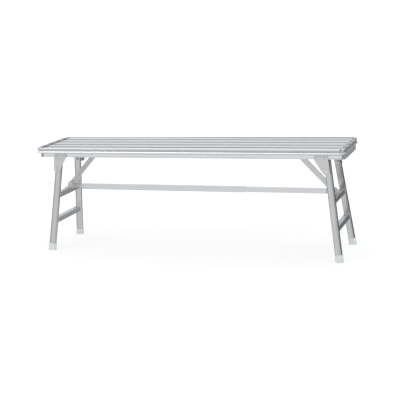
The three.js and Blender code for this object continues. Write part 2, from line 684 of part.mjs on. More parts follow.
// Rung bracket: a base on the upper rung, two tall ears for the strut and two long ears for the stretcher
const RUNG_TOP = -UPPER_RUNG_DROP + RUNG_SIZE / 2;
const BASE_BOTTOM = RUNG_TOP + FIT;
const BASE_TOP = BASE_BOTTOM + BRACKET_BASE_THICKNESS;
const BASE_HALF = RUNG_SIZE / 2;

function earPair(outline, line, pinnedThickness) {
  const offset = pinnedThickness / 2 + SIDE_PLAY + EAR_THICKNESS / 2;
  return EDGES.map((edge) => {
    const ear = extrudeY(outline, EAR_THICKNESS);
    ear.translate(0, line + edge.sign * offset, 0);
    return ear;
  });
}

// A form made for the right side, turned half round the Z axis for the left side
function facing(side, geometry) {
  if (side.sign < 0) {
    geometry.rotateZ(Math.PI);
  }
  return geometry;
}

// An ear's outline: from a straight foot up to a round head, as a tight loop round both
function earOutline(foot, head, radius) {
  const [headX, headZ] = head;
  const steps = ROUND_SEGMENTS;
  const points = [...Array(steps).keys()].map((step) => {
    const angle = (2 * Math.PI * step) / steps;
    return [headX + radius * Math.cos(angle), headZ + radius * Math.sin(angle)];
  });
  const loop = tightLoop([...points, ...foot]);
  return polygon(loop.map(([x, z]) => [-x, z]));
}

function tightLoop(points) {
  const sorted = [...points].sort((a, b) => a[0] - b[0] || a[1] - b[1]);
  const turn = (a, b, c) => (b[0] - a[0]) * (c[1] - a[1]) - (b[1] - a[1]) * (c[0] - a[0]);
  const half = (list) => {
    const chain = [];
    list.forEach((point) => {
      while (chain.length > 1 && turn(chain[chain.length - 2], chain[chain.length - 1], point) <= 0) {
        chain.pop();
      }
      chain.push(point);
    });
    return chain.slice(0, -1);
  };
  return [...half(sorted), ...half(sorted.reverse())];
}

function makeRungBracket(frame, side) {
  const right = SIDES[1];
  const line = strutLine(right);
  const strutFoot = [[-BASE_HALF, BASE_BOTTOM], [BASE_HALF, BASE_BOTTOM]];
  const stretcherFoot = [[0, BASE_BOTTOM], [BASE_HALF, BASE_BOTTOM]];
  const strutHead = [STRUT_PIN_OFFSET, -STRUT_PIN_DROP];
  const stretcherHead = [STRETCHER_PIN_OFFSET, -STRETCHER_PIN_DROP];
  const strutEar = earOutline(strutFoot, strutHead, STRUT_EAR_RADIUS);
  const stretcherEar = earOutline(stretcherFoot, stretcherHead, STRETCHER_EAR_RADIUS);
  const front = line - STRUT_THICKNESS / 2 - SIDE_PLAY - EAR_THICKNESS;
  const rear = TONGUE_THICKNESS / 2 + SIDE_PLAY + EAR_THICKNESS;
  const base = box(RUNG_SIZE, rear - front, BRACKET_BASE_THICKNESS, 0, (front + rear) / 2,
    (BASE_BOTTOM + BASE_TOP) / 2);
  const pieces = [base, ...earPair(strutEar, line, STRUT_THICKNESS),
    ...earPair(stretcherEar, 0, TONGUE_THICKNESS)];
  const [strutX, strutZ] = strutPinPlace(right);
  const [stretcherX, stretcherZ] = stretcherPinPlace(right);
  const holes = [
    barY(PIN_RADIUS + FIT, -2 * front, strutX, front, strutZ),
    barY(STRETCHER_PIN_RADIUS + FIT, 4 * rear, stretcherX, 0, stretcherZ),
  ];
  const bracket = facing(side, cut(join(pieces), holes));
  addMesh(frame, `rung_bracket_${side.name}`, bracket, aluminium(0xbfc3c4, 0.42));
}

// A headed pin along Y through a pair of ears
function pinGeometry(radius, headRadius, pinnedThickness) {
  const face = pinnedThickness / 2 + SIDE_PLAY + EAR_THICKNESS + FIT;
  const heads = EDGES.map((edge) => {
    const middle = edge.sign * (face + PIN_HEAD_HEIGHT / 2);
    return barY(headRadius, PIN_HEAD_HEIGHT, 0, middle, 0);
  });
  const shank = barY(radius, 2 * face + PIN_HEAD_HEIGHT, 0, 0, 0);
  return join([shank, ...heads]);
}

function makeFramePin(frame, name, line, place, radius, headRadius, pinnedThickness) {
  const pin = addMesh(frame, name, pinGeometry(radius, headRadius, pinnedThickness), zincSteel());
  pin.position.set(place[0], line, place[1]);
}

// A point of the frame's plane, given inwards and downwards from the pivot, in the bench's own X and Z
function openPlace(inwards, down) {
  const x = PIVOT_SPREAD - inwards * Math.cos(SPLAY_LENGTHWISE) + down * Math.sin(SPLAY_LENGTHWISE);
  const z = PIVOT_HEIGHT - inwards * Math.sin(SPLAY_LENGTHWISE) - down * Math.cos(SPLAY_LENGTHWISE);
  return [x, z];
}

// Strut: a flat bar from its hinge under the seat to a hook over the pin of the rung bracket
const [STRUT_PIN_X, STRUT_PIN_Z] = openPlace(STRUT_PIN_OFFSET, STRUT_PIN_DROP);
const STRUT_RUN = STRUT_PIN_X - STRUT_HINGE_SPREAD;
const STRUT_FALL = STRUT_HINGE_HEIGHT - STRUT_PIN_Z;
const STRUT_SPAN = Math.hypot(STRUT_RUN, STRUT_FALL);
const STRUT_ANGLE = Math.atan2(STRUT_FALL, STRUT_RUN);
const FOLD_ANGLE = Math.PI / 2 + SPLAY_LENGTHWISE;

// The hook is open towards the way the pin leaves it when the strut swings up as the frame folds in
function hookDirection() {
  const swing = STRUT_ANGLE / FOLD_ANGLE;
  const pinMotion = [-(PIVOT_HEIGHT - STRUT_PIN_Z), -(STRUT_PIN_X - PIVOT_SPREAD)];
  const endMotion = [STRUT_FALL * swing, STRUT_RUN * swing];
  return Math.atan2(pinMotion[1] - endMotion[1], pinMotion[0] - endMotion[0]);
}

function makeStrut(side) {
  const radius = STRUT_HEIGHT / 2;
  const shape = new THREE.Shape();
  shape.moveTo(0, radius);
  shape.absarc(0, 0, radius, Math.PI / 2, 1.5 * Math.PI, false);
  shape.absarc(STRUT_SPAN, 0, radius, -Math.PI / 2, Math.PI / 2, false);
  shape.closePath();
  const options = { depth: STRUT_THICKNESS, bevelEnabled: false, curveSegments: ROUND_SEGMENTS / 2 };
  const bar = new THREE.ExtrudeGeometry(shape, options);
  bar.translate(0, 0, -STRUT_THICKNESS / 2);
  bar.applyMatrix4(ALONG_Y);
  const bore = PIN_RADIUS + HOOK_PLAY;
  const slotLength = 2 * STRUT_HEIGHT;
  const slot = box(slotLength, 2 * STRUT_THICKNESS, 2 * bore, slotLength / 2, 0, 0);
  slot.rotateY(-(hookDirection() + STRUT_ANGLE));
  slot.translate(STRUT_SPAN, 0, 0);
  const cutters = [
    barY(PIN_RADIUS + FIT, 2 * STRUT_THICKNESS, 0, 0, 0),
    barY(bore, 2 * STRUT_THICKNESS, STRUT_SPAN, 0, 0),
    slot,
  ];
  const geometry = cut(bar, cutters);
  geometry.rotateY(STRUT_ANGLE);
  const strut = addMesh(bench, `strut_${side.name}`, facing(side, geometry), aluminium(0xcdd0d1, 0.4));
  strut.position.set(side.sign * STRUT_HINGE_SPREAD, strutLine(side), STRUT_HINGE_HEIGHT);
}

// Strut hinge bracket: a plate under the bearer with two ears, and its pin
function makeStrutHinge(side) {
  const plateTop = BEARER_BOTTOM - FIT - STRUT_HINGE_HEIGHT;
  const plateBottom = plateTop - HINGE_PLATE_THICKNESS;
  const plate = box(BEARER_WIDTH, HINGE_PLATE_WIDTH, HINGE_PLATE_THICKNESS, 0, 0,
    (plateTop + plateBottom) / 2);
  const foot = [[-BEARER_WIDTH / 2, plateTop], [BEARER_WIDTH / 2, plateTop]];
  const outline = earOutline(foot, [0, 0], HINGE_EAR_RADIUS);
  const holes = [barY(PIN_RADIUS + FIT, HINGE_PLATE_WIDTH, 0, 0, 0)];
  const geometry = cut(join([plate, ...earPair(outline, 0, STRUT_THICKNESS)]), holes);
  const bracket = addMesh(bench, `strut_hinge_${side.name}`, geometry, aluminium(0xbfc3c4, 0.42));
  bracket.position.set(side.sign * STRUT_HINGE_SPREAD, strutLine(side), STRUT_HINGE_HEIGHT);
  const pin = addMesh(bench, `strut_hinge_pin_${side.name}`,
    pinGeometry(PIN_RADIUS, PIN_HEAD_RADIUS, STRUT_THICKNESS), zincSteel());
  pin.position.copy(bracket.position);
}

// Stretcher: two tubes, one sliding in the other, each with a tongue pinned to its rung bracket
const [STRETCHER_PIN_X, STRETCHER_PIN_Z] = openPlace(STRETCHER_PIN_OFFSET, STRETCHER_PIN_DROP);
const OUTER_TUBE_START = LEFT_TONGUE_LENGTH - STRETCHER_PIN_X;
const OUTER_TUBE_STOP = OUTER_TUBE_START + STRETCHER_OUTER_LENGTH;
const INNER_TUBE_STOP = STRETCHER_PIN_X - RIGHT_TONGUE_LENGTH;
const INNER_TUBE_START = OUTER_TUBE_STOP - STRETCHER_OVERLAP;

function makeStretcherTubes() {
  const outerTube = tube(extrudeX, STRETCHER_SIZE, STRETCHER_SIZE, STRETCHER_WALL, STRETCHER_CORNER,
    STRETCHER_OUTER_LENGTH);
  const outer = addMesh(bench, 'stretcher_outer', outerTube, aluminium(0xd0d3d5, 0.36));
  outer.position.set((OUTER_TUBE_START + OUTER_TUBE_STOP) / 2, 0, STRETCHER_PIN_Z);
  const innerTube = tube(extrudeX, INNER_TUBE_SIZE, INNER_TUBE_SIZE, STRETCHER_INNER_WALL,
    STRETCHER_INNER_CORNER, INNER_TUBE_STOP - INNER_TUBE_START);
  const inner = addMesh(bench, 'stretcher_inner', innerTube, aluminium(0xcbced0, 0.38));
  inner.position.set((INNER_TUBE_START + INNER_TUBE_STOP) / 2, 0, STRETCHER_PIN_Z);
}

function makeTongue(side, tongueLength, tubeSize, wall) {
  const plugSize = tubeSize - 2 * (wall + FIT);
  const plugMiddle = tongueLength + TONGUE_PLUG_LENGTH / 2;
  const plug = box(TONGUE_PLUG_LENGTH, plugSize, plugSize, plugMiddle, 0, 0);
  const bar = box(plugMiddle, TONGUE_THICKNESS, TONGUE_HEIGHT, plugMiddle / 2, 0, 0);
  const head = barY(TONGUE_HEIGHT / 2, TONGUE_THICKNESS, 0, 0, 0);
  const bore = barY(STRETCHER_PIN_RADIUS + FIT, 2 * TONGUE_THICKNESS, 0, 0, 0);
  const tongue = addMesh(bench, `stretcher_tongue_${side.name}`, cut(join([plug, bar, head]), [bore]),
    aluminium(0xb9bdc0, 0.42));
  tongue.rotation.z = side.sign > 0 ? Math.PI : 0;
  tongue.position.set(side.sign * STRETCHER_PIN_X, 0, STRETCHER_PIN_Z);
}

EDGES.forEach(makeRail);
[...Array(SLAT_COUNT).keys()].forEach(makeSlat);
SIDES.forEach(makeCap);
BEARER_PLACE_SHARES.forEach(makeBearer);
SIDES.forEach((side) => {
  EDGES.forEach((edge) => {
    makeGusset(side, edge);
    makePivotBolt(side, edge);
    makePivotNut(side, edge);
  });
  makeFrame(side);
  makeStrutHinge(side);
  makeStrut(side);
});
makeStretcherTubes();
makeTongue(SIDES[0], LEFT_TONGUE_LENGTH, STRETCHER_SIZE, STRETCHER_WALL);
makeTongue(SIDES[1], RIGHT_TONGUE_LENGTH, INNER_TUBE_SIZE, STRETCHER_INNER_WALL);

export default bench;
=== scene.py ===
# %% [markdown]
# # Dressing a folding bench
# The frame that is loaded first holds every rigid piece of the bench at its real place and size. This
# lesson adds what the solids lack: the finish of each metal and plastic, the weld beads, the light of
# a small studio and the camera. All lengths are metres.

# %% Load the frame
import math
import bpy
from mathutils import Matrix, Vector


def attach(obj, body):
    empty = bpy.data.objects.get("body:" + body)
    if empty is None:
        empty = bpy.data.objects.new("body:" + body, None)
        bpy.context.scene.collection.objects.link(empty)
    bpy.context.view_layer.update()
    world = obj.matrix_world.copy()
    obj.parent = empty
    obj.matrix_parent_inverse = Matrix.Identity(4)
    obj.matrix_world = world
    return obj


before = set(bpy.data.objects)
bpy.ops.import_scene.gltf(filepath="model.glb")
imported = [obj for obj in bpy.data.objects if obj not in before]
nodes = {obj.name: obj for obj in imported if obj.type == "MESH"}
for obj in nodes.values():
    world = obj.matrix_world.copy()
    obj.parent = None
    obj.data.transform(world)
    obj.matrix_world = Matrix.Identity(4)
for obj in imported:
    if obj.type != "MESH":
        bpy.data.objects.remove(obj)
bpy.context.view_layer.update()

# %% [markdown]
# ## Camera
# The bench is photographed from the front, a little to the right and from above, with a long lens. A
# camera can be aimed with a constraint, but here its three axes are written out, because the view was
# worked out as a position and three directions. The small roll is part of the real view.

# %% Camera
CAMERA_PLACE = Vector((1.5763, -4.1813, 1.2453))
CAMERA_FORWARD = Vector((-0.34072, 0.9135, -0.22231)).normalized()
CAMERA_RIGHT = Vector((0.93989, 0.33663, -0.05728))
FOCAL_PIXELS = 977.7
IMAGE_PIXELS = 400
SENSOR_MM = 36.0

back = -CAMERA_FORWARD
right = (CAMERA_RIGHT - CAMERA_RIGHT.dot(back) * back).normalized()
up = back.cross(right)
camera_data = bpy.data.cameras.new("camera")
camera_data.sensor_width = SENSOR_MM
camera_data.lens = FOCAL_PIXELS / IMAGE_PIXELS * SENSOR_MM
camera = bpy.data.objects.new("camera", camera_data)
bpy.context.scene.collection.objects.link(camera)
camera.matrix_world = Matrix.Translation(CAMERA_PLACE) @ Matrix((right, up, back)).transposed().to_4x4()
bpy.context.scene.camera = camera
print("lens", round(camera_data.lens, 2), "mm")

# %% [markdown]
# ## Writing shaders as sums
# A finish is mostly arithmetic on noise, so it reads best as Python sums. `Signal` wraps one socket of
# a node tree, and each operator on it adds a Math node. `Finish` holds one material and has a single
# method that adds any other node: first its settings, then its socket values or links.

# %% Signals and finishes
class Signal:
    """A number that varies over the surface."""

    def __init__(self, finish, socket):
        self.finish = finish
        self.socket = socket

    def math(self, operation, *values):
        settings = {"operation": operation}
        return self.finish.add("ShaderNodeMath", settings, dict(enumerate(values)))

    def __add__(self, other):
        return self.math("ADD", self, other)

    def __mul__(self, other):
        return self.math("MULTIPLY", self, other)

    def __sub__(self, other):
        return self.math("SUBTRACT", self, other)

    def __rsub__(self, other):
        return self.math("SUBTRACT", other, self)

    def __abs__(self):
        return self.math("ABSOLUTE", self)

    __radd__ = __add__
    __rmul__ = __mul__

    def swing(self, turn):
        """Up from 0 to turn and down to 0 again, over and over: the distance to the nearest 2 * turn."""
        return self.math("PINGPONG", self, turn)

    def either(self, other):
        return self.math("MAXIMUM", self, other)

    def between(self, low, high):
        """0 below low, 1 above high and a straight ramp from one to the other."""
        settings = {"clamp": True}
        ends = {"Value": self, "From Min": low, "From Max": high}
        return self.finish.add("ShaderNodeMapRange", settings, ends)


class Tree:
    """A node tree and one way to add any node to it."""

    def __init__(self, tree):
        self.tree = tree

    def add(self, kind, settings, inputs, output=0):
        node = self.tree.nodes.new(kind)
        for name, value in settings.items():
            setattr(node, name, value)
        for key, value in inputs.items():
            self.feed(node.inputs[key], value)
        return Signal(self, node.outputs[output])

    def feed(self, socket, value):
        if isinstance(value, Signal):
            self.tree.links.new(value.socket, socket)
        else:
            socket.default_value = value

    def along(self, place, direction):
        """How far a place lies along a direction."""
        settings = {"operation": "DOT_PRODUCT"}
        return self.add("ShaderNodeVectorMath", settings, {0: place, 1: direction}, "Value")


class Finish(Tree):
    """One material: its shader and the patterns that feed it."""

    def __init__(self, name, metallic):
        self.material = bpy.data.materials.new(name)
        self.material.use_nodes = True
        super().__init__(self.material.node_tree)
        self.shader = self.tree.nodes["Principled BSDF"]
        self.shader.inputs["Metallic"].default_value = metallic

    def place(self):
        return self.add("ShaderNodeTexCoord", {}, {}, "Object")

    def noise(self, place, scale, detail=3.0, rough=0.55):
        sockets = {"Vector": place, "Scale": scale, "Detail": detail, "Roughness": rough}
        return self.add("ShaderNodeTexNoise", {}, sockets, "Fac")

    def streaks(self, numbers, scales, detail, rough=0.55):
        """Noise pulled out one way: each of the three numbers of a place has a scale of its own."""
        axes = {axis: number * scale for axis, number, scale in zip("XYZ", numbers, scales)}
        place = self.add("ShaderNodeCombineXYZ", {}, axes)
        return self.noise(place, scale=1.0, detail=detail, rough=rough)

    def blend(self, factor, first, second):
        sockets = {"Factor": factor, 6: first, 7: second}
        return self.add("ShaderNodeMix", {"data_type": "RGBA"}, sockets, 2)

    def bump(self, height, strength, distance):
        sockets = {"Height": height, "Strength": strength, "Distance": distance}
        normal = self.add("ShaderNodeBump", {}, sockets)
        self.feed(self.shader.inputs["Normal"], normal)

    def finish(self, colour, roughness):
        self.feed(self.shader.inputs["Base Color"], colour)
        self.feed(self.shader.inputs["Roughness"], roughness)
        return self.material


def grey(value, warm=0.0):
    """A near-grey colour, at most white, pushed a little towards yellow or, below 0, towards blue."""
    value = min(1.0, value)
    return (value * (1 + warm), value, value * (1 - warm), 1.0)


LENGTHWISE = (1, 0, 0)
ACROSS = (0, 1, 0)
UP = (0, 0, 1)


print("shader helpers are ready")

# %% [markdown]
# ## Mill-finish extrusions
# The rails, slats, legs, rungs and tubes are aluminium pressed through a die. Each carries fine lines
# along its length, soft cloudy patches where it was handled, and a few light scratches. An image could
# show this, but stretched noise does it at any scale: the place on the piece is split into one number
# along the extrusion and two across it, and the long one is squeezed so that the noise turns to lines.
#
# Painted shade darkens the seat where shade falls: along both edges of each board, in the corner of the rim
# and in the neck over the nose, and the rim's tread is painted a little darker too. It follows the place
# across the seat, so it needs no drawing.

# %% Extruded aluminium
# Waves per metre along the piece and in the two directions across it.
LINE_SCALES = (1.5, 520, 520)
BAND_SCALES = (0.8, 90, 90)
SCRATCH_SCALES = (1.0, 900, 900)
SCRATCH_SLANT = (30, 60)
NOT_ALONG_ANY_EDGE = Vector((0.3, 1.0, 0.2))


def extruded(name, direction, tone, roughness, painted_shade=None, banding=0.45):
    """Tone is the metal's grey. The shade function gives 0 to 1 of painted shade for a place, and banding the
    streaks' strength.
    """
    run = Vector(direction).normalized()
    side = run.cross(NOT_ALONG_ANY_EDGE).normalized()
    other = run.cross(side).normalized()
    finish = Finish(name, 1.0)
    place = finish.place()
    length = finish.along(place, run)
    across = finish.along(place, side)
    depth = finish.along(place, other)
    lines = finish.streaks((length, across, depth), LINE_SCALES, detail=2.0, rough=0.6)
    bands = finish.streaks((length, across, depth), BAND_SCALES, detail=1.0)
    clouds = finish.noise(place, scale=14.0, detail=4.0)
    handled = finish.noise(place, scale=45.0, detail=5.0, rough=0.65)
    slant = length * SCRATCH_SLANT[0] + across * SCRATCH_SLANT[1]
    scratches = finish.streaks((slant, across, depth), SCRATCH_SCALES, detail=2.0).between(0.70, 0.76)
    lightness = 0.62 * lines + banding * (bands - 0.5) + 0.5 * clouds - 0.06
    colour = finish.blend(lightness, grey(tone * 0.86, -0.012), grey(tone * 1.1, -0.004))
    colour = finish.blend(scratches * 0.35, colour, grey(tone * 1.2))
    # painted shade: the colour is pulled towards a dark grey where the shade function says
    if painted_shade:
        colour = finish.blend(painted_shade(finish, place), colour, grey(tone * 0.34, -0.03))
    finish.bump(lines * 0.7 + scratches * 0.5 + handled * 0.25, strength=0.22, distance=0.00025)
    rough = roughness - 0.06 + lines * 0.06 + handled * 0.1 + clouds * 0.06 - scratches * 0.08
    return finish.finish(colour, rough)


# Each pair is a ramp in metres, from where a mark begins to where it is full. Those of a slat and a
# cap's gap are measured from the middle of the nearest slat, the others from the bench's middle or floor.
SLAT_HALF_PITCH = 0.1 / 3
SLAT_EDGE = (0.0190, 0.0285)
# how dark the painted shade at the slats' gaps gets
SLAT_GAP_SHADE = 0.81
RAIL_INNER_EDGE = (0.1075, 0.119)
RAIL_TOP_SKIN = (0.470, 0.480)
LIP_CORNER_START = (0.147, 0.1535)
LIP_CORNER_STOP = (0.1545, 0.1565)
NECK_BOTTOM = (0.4862, 0.4885)
NECK_TOP = (0.4925, 0.4945)
NECK_OUT = (0.156, 0.157)
# how dark the painted shade in the neck gets
NECK_SHADE = 0.5
TREAD = (0.4935, 0.4955)
# how much darker the tread is painted
TREAD_SHADE = 0.25


def slat_gap_shade(finish, place):
    """Painted shade along both long edges of every slat, where the gaps are, told from the place across the
    seat.
    """
    off_middle = finish.along(place, ACROSS).swing(SLAT_HALF_PITCH)
    # painted shade along both edges of each slat, where the gaps between the slats are
    return off_middle.between(*SLAT_EDGE) * SLAT_GAP_SHADE


def rail_painted_shade(finish, place):
    """Painted shade on a rail, along its inner edge, in the corner of its lip and in the neck below it. The
    tread is also painted a little darker than the nose and the web, so that the faces turned to the front
    read as lit."""
    out = abs(finish.along(place, ACROSS))
    height = finish.along(place, UP)
    # painted shade along the inner edge, in the lip's corner and in the neck, and a painted darker tread
    inner_edge = (1 - out.between(*RAIL_INNER_EDGE)) * height.between(*RAIL_TOP_SKIN)
    lip_corner = out.between(*LIP_CORNER_START) * (1 - out.between(*LIP_CORNER_STOP))
    neck = height.between(*NECK_BOTTOM) * (1 - height.between(*NECK_TOP)) * out.between(*NECK_OUT)
    tread = height.between(*TREAD)
    return inner_edge.either(lip_corner).either(neck * NECK_SHADE).either(tread * TREAD_SHADE)


# painted light: the rails' grey is set well above the slats', so that the nose and the web read as lit, and
# the tread is painted back darker
SEAT_RAIL = extruded("rail aluminium", LENGTHWISE, tone=0.86, roughness=0.25, painted_shade=rail_painted_shade)
SEAT_SLAT = extruded("slat aluminium", LENGTHWISE, tone=0.63, roughness=0.29, painted_shade=slat_gap_shade)
STRETCHER = extruded("stretcher aluminium", LENGTHWISE, tone=0.75, roughness=0.28)
RUNG = extruded("rung aluminium", ACROSS, tone=0.52, roughness=0.34)
BEARER = extruded("bearer aluminium", ACROSS, tone=0.62, roughness=0.42)
print("extrusion finishes are ready for the seat, the stretcher and the rungs")

# %% [markdown]
# ## Matt plate
# The gussets and brackets are cut from plate with a duller, faintly clouded skin. A cell pattern with
# soft edges gives the clouding, and a very fine noise gives the tooth that makes it matt.

# %% Plate, pressings and struts
CELL_WANDER = (0.02, 0.02, 0.02)


def plate(name, tone, roughness):
    finish = Finish(name, 1.0)
    place = finish.place()
    wander = finish.noise(place, scale=60.0, detail=3.0)
    settings = {"operation": "MULTIPLY_ADD"}
    shifted = finish.add("ShaderNodeVectorMath", settings, {0: wander, 1: CELL_WANDER, 2: place})
    sockets = {"Vector": shifted, "Scale": 170.0}
    cells = finish.add("ShaderNodeTexVoronoi", {"feature": "SMOOTH_F1"}, sockets, "Distance")
    tooth = finish.noise(place, scale=1400.0, detail=2.0)
    clouds = finish.noise(place, scale=30.0, detail=4.0)
    factor = cells * 0.5 + clouds * 0.6 + tooth * 0.15 - 0.1
    colour = finish.blend(factor, grey(tone * 0.88, 0.012), grey(tone * 1.1, 0.004))
    finish.bump(tooth * 0.5 + cells * 0.3, strength=0.18, distance=0.0002)
    return finish.finish(colour, roughness - 0.08 + clouds * 0.12 + tooth * 0.06)


GUSSET = plate("gusset plate", tone=0.69, roughness=0.48)
BRACKET = plate("bracket plate", tone=0.68, roughness=0.50)
STRUT = plate("strut bar", tone=0.68, roughness=0.44)
print("plate finishes are ready for the gussets, the brackets and the struts")

# %% [markdown]
# ## Zinc-plated fasteners
# Bolts, nuts and pins are steel under a thin bright coat. Its colour drifts a little between blue and
# straw, and the turned faces keep a fine grain.

# %% Fasteners
BLUE_ZINC = (0.70, 0.72, 0.76, 1.0)
STRAW_ZINC = (0.78, 0.76, 0.70, 1.0)


def zinc(name):
    finish = Finish(name, 1.0)
    place = finish.place()
    drift = finish.noise(place, scale=120.0, detail=3.0)
    grain = finish.noise(place, scale=2200.0, detail=2.0)
    colour = finish.blend(drift.between(0.35, 0.65), BLUE_ZINC, STRAW_ZINC)
    finish.bump(grain, strength=0.15, distance=0.0001)
    return finish.finish(colour, 0.34 + drift * 0.14 + grain * 0.06)


ZINC = zinc("zinc plate")
print("fastener finish", ZINC.name)

# %% [markdown]
# ## Moulded plastics
# The end caps are a satin grey plastic with a faint moulded grain. They carry painted shade, near black,
# where each gap between the boards ends, and a pale painted highlight towards the front and rear corners. The
# foot caps are milky polyethylene: light passes a little way in, and the sole has picked up some dirt, which
# is strongest at the floor.

# %% Caps
CAP_DARK = (0.20, 0.215, 0.23, 1.0)
CAP_LIGHT = (0.27, 0.285, 0.30, 1.0)
CAP_SCUFF = (0.42, 0.43, 0.44, 1.0)
# pale colour of the painted highlight at the cap's corners
CAP_HIGHLIGHT = (0.60, 0.61, 0.62, 1.0)
# near-black colour of the painted shade at the ends of the gaps
CAP_GAP_SHADE = (0.03, 0.032, 0.035, 1.0)
CAP_CORNER = (0.128, 0.156)
CAP_RIM = (0.483, 0.487)
GAP_END = (0.0255, 0.0285)
FOOT_DARK = (0.56, 0.57, 0.58, 1.0)
FOOT_LIGHT = (0.65, 0.66, 0.67, 1.0)
FOOT_DIRT = (0.45, 0.44, 0.42, 1.0)
DIRTY_HEIGHT = 0.02


def cap_plastic(name):
    finish = Finish(name, 0.0)
    place = finish.place()
    grain = finish.noise(place, scale=1600.0, detail=2.0)
    clouds = finish.noise(place, scale=25.0, detail=4.0)
    scuffs = finish.noise(place, scale=140.0, detail=6.0, rough=0.7).between(0.58, 0.7)
    colour = finish.blend(clouds * 0.8 + grain * 0.2, CAP_DARK, CAP_LIGHT)
    colour = finish.blend(scuffs * 0.25, colour, CAP_SCUFF)
    across = finish.along(place, ACROSS)
    # painted highlight towards the front and rear corners of the cap
    corner = abs(across).between(*CAP_CORNER) * (0.45 + clouds * 0.7)
    colour = finish.blend(corner, colour, CAP_HIGHLIGHT)
    # painted shade, near black, where each gap between the boards meets the cap
    gap_end_shade = across.swing(SLAT_HALF_PITCH).between(*GAP_END)
    rim = finish.along(place, UP).between(*CAP_RIM)
    colour = finish.blend(gap_end_shade * rim * 0.95, colour, CAP_GAP_SHADE)
    finish.bump(grain * 0.6 + scuffs * 0.2, strength=0.2, distance=0.0002)
    return finish.finish(colour, 0.36 + grain * 0.08 + scuffs * 0.12)


def foot_plastic(name):
    finish = Finish(name, 0.0)
    place = finish.place()
    height = finish.along(place, UP)
    clouds = finish.noise(place, scale=70.0, detail=4.0)
    grain = finish.noise(place, scale=1500.0, detail=2.0)
    dirt = (1 - height.between(0.0, DIRTY_HEIGHT)) * clouds.between(0.35, 0.75)
    colour = finish.blend(clouds, FOOT_DARK, FOOT_LIGHT)
    colour = finish.blend(dirt * 0.3, colour, FOOT_DIRT)
    finish.shader.inputs["Subsurface Weight"].default_value = 0.25
    finish.shader.inputs["Subsurface Scale"].default_value = 0.004
    finish.shader.inputs["Subsurface Radius"].default_value = (1, 1, 1)
    finish.bump(grain * 0.5 + clouds * 0.3, strength=0.15, distance=0.0002)
    return finish.finish(colour, 0.38 + clouds * 0.14)


CAP = cap_plastic("end cap plastic")
FOOT = foot_plastic("foot plastic")
print("plastic finishes", CAP.name, FOOT.name)

# %% [markdown]
# ## Legs
# A leg's lines must run down the leg, so each of the four leans has a finish of its own, turned to the leg's
# direction. The lean comes from where the leg stands and where its pivot is. The faces that look out to the
# ends carry painted shade, darker than the rest, as the sides turned away from the light.

# %% Lean of the legs
SIDES = {"left": -1, "right": 1}
EDGES = {"front": -1, "rear": 1}
LEG_DEPTH = 0.020
PIVOT_REACH = 0.654
PIVOT_HEIGHT = 0.400
LEG_PIVOT_SPREAD = 0.098
FOOT_OUT_LENGTHWISE = 0.0495
FOOT_OUT_CROSSWISE = 0.051
SPLAY_LENGTHWISE = math.atan2(FOOT_OUT_LENGTHWISE, PIVOT_HEIGHT)
FRAME_DROP = PIVOT_HEIGHT / math.cos(SPLAY_LENGTHWISE)
SPLAY_CROSSWISE = math.atan2(FOOT_OUT_CROSSWISE, FRAME_DROP)
# band and strength of the painted shade on each leg's outer side, in metres from the legs' middle line
OUTER_SHADE_BAND = (0.0050, 0.0140)
OUTER_SHADE = 0.72


def frame_matrix(side):
    """From a leg frame's own plane to the bench: X outwards, Z up the frame, the pivot line at 0."""
    sign = SIDES[side]
    turn = Matrix.Rotation(-sign * SPLAY_LENGTHWISE, 4, "Y")
    return Matrix.Translation((sign * PIVOT_REACH, 0, PIVOT_HEIGHT)) @ turn


def leg_direction(side, edge):
    """Down the leg, from its pivot to its foot."""
    local = Vector((0, EDGES[edge] * math.sin(SPLAY_CROSSWISE), -math.cos(SPLAY_CROSSWISE)))
    return frame_matrix(side).to_3x3() @ local


def outer_face_shade(side):
    """Painted shade on the face that looks out to the bench's end, told from the legs' middle line."""
    to_bench = frame_matrix(side)
    out = SIDES[side] * (to_bench.to_3x3() @ Vector(LENGTHWISE))
    middle = out.dot(to_bench.translation)
    return lambda finish, place: (finish.along(place, out) - middle).between(*OUTER_SHADE_BAND) * OUTER_SHADE


LEG = {(side, edge): extruded(f"leg aluminium {edge} {side}", leg_direction(side, edge), tone=0.62,
                              roughness=0.24, painted_shade=outer_face_shade(side), banding=1.5)
       for side in SIDES for edge in EDGES}
print("leg finishes", len(LEG))

# %% [markdown]
# ## Handing out the finishes
# Each loaded node keeps its mesh and gets its finish through its material slots. The node names say
# what each one is, so the first matching word decides.

# %% Assign
FINISH_BY_WORD = [
    ("rail", SEAT_RAIL), ("slat", SEAT_SLAT), ("end_cap", CAP), ("bearer", BEARER), ("gusset", GUSSET),
    ("pivot", ZINC), ("foot_cap", FOOT), ("rung_bracket", BRACKET), ("rung", RUNG), ("strut_hinge_pin", ZINC),
    ("strut_hinge", BRACKET), ("_pin", ZINC), ("strut", STRUT), ("stretcher", STRETCHER),
]


def finish_for(name):
    if name.startswith("leg_"):
        _, edge, side = name.split("_")
        return LEG[(side, edge)]
    return next(finish for word, finish in FINISH_BY_WORD if word in name)


for name, node in nodes.items():
    node.data.materials.clear()
    node.data.materials.append(finish_for(name))
print("nodes dressed", len(nodes))

# %% [markdown]
# ## Weld beads
# The rungs are welded to the legs all round. A weld could be painted on with bump, but it catches the
# light along its whole edge, so it is a small mesh: a ring that follows the rung's square outline on
# the sloping face of the leg, thick where each drop of metal set and thin between.

# %% Weld beads
RUNG_SIZE = 0.025
SQUARENESS = 7
BEAD_RADIUS = 0.0021
THINNEST_SHARE = 0.82
RIPPLES = 46
BEAD_STEPS = 184
BEAD_SIDES = 8
RUNG_DROPS = {"upper": 0.139, "lower": 0.261}


def square_loop(step):
    """A point and its outward direction on the rung's rounded square, at a share of the way round."""
    angle = math.tau * step
    ux, uz = math.cos(angle), math.sin(angle)
    reach = RUNG_SIZE / 2 * (abs(ux) ** SQUARENESS + abs(uz) ** SQUARENESS) ** (-1 / SQUARENESS)
    return reach * ux, reach * uz, ux, uz


